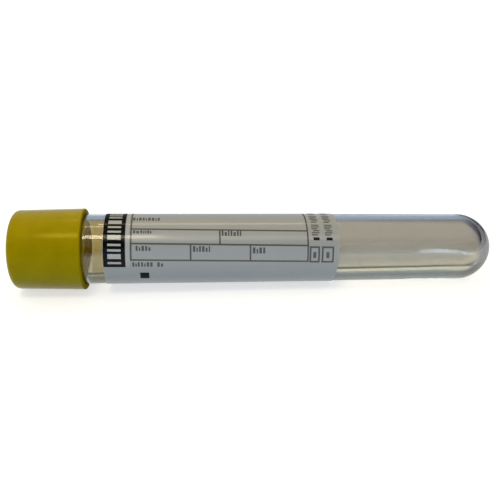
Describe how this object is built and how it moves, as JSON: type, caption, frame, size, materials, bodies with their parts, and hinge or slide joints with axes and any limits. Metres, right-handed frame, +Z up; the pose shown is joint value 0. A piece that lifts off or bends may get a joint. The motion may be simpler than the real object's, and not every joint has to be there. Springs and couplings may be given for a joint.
{
  "type": "blood collection tube",
  "caption": "Round-bottom glass blood collection tube with a one-piece rubber stopper that pulls off, a wrapped paper label and a liquid additive, lying on its side.",
  "frame": {"origin": "on the table, under the middle of the tube as it lies, at the centre of the bottom of its box", "axes": "+X along the tube towards its round bottom, level with the table; +Z up from the table; -Y is the front, which the label's print faces"},
  "size_m": [0.1121, 0.0186, 0.0186],
  "materials": {
    "glass": "clear polished glass",
    "stopper": "satin yellow moulded rubber",
    "label": "smooth coated paper, printed in black and grey",
    "additive": "clear watery liquid"
  },
  "bodies": {
    "tube": {"glass_tube": "glass", "label": "label", "additive_solution": "additive"},
    "stopper": {"stopper": "stopper"}
  },
  "joints": [
    {"name": "stopper_pull", "type": "slide", "parent": "tube", "child": "stopper", "axis": [-0.9999, 0, 0.0146], "range_m": [0, 0.025]}
  ]
}
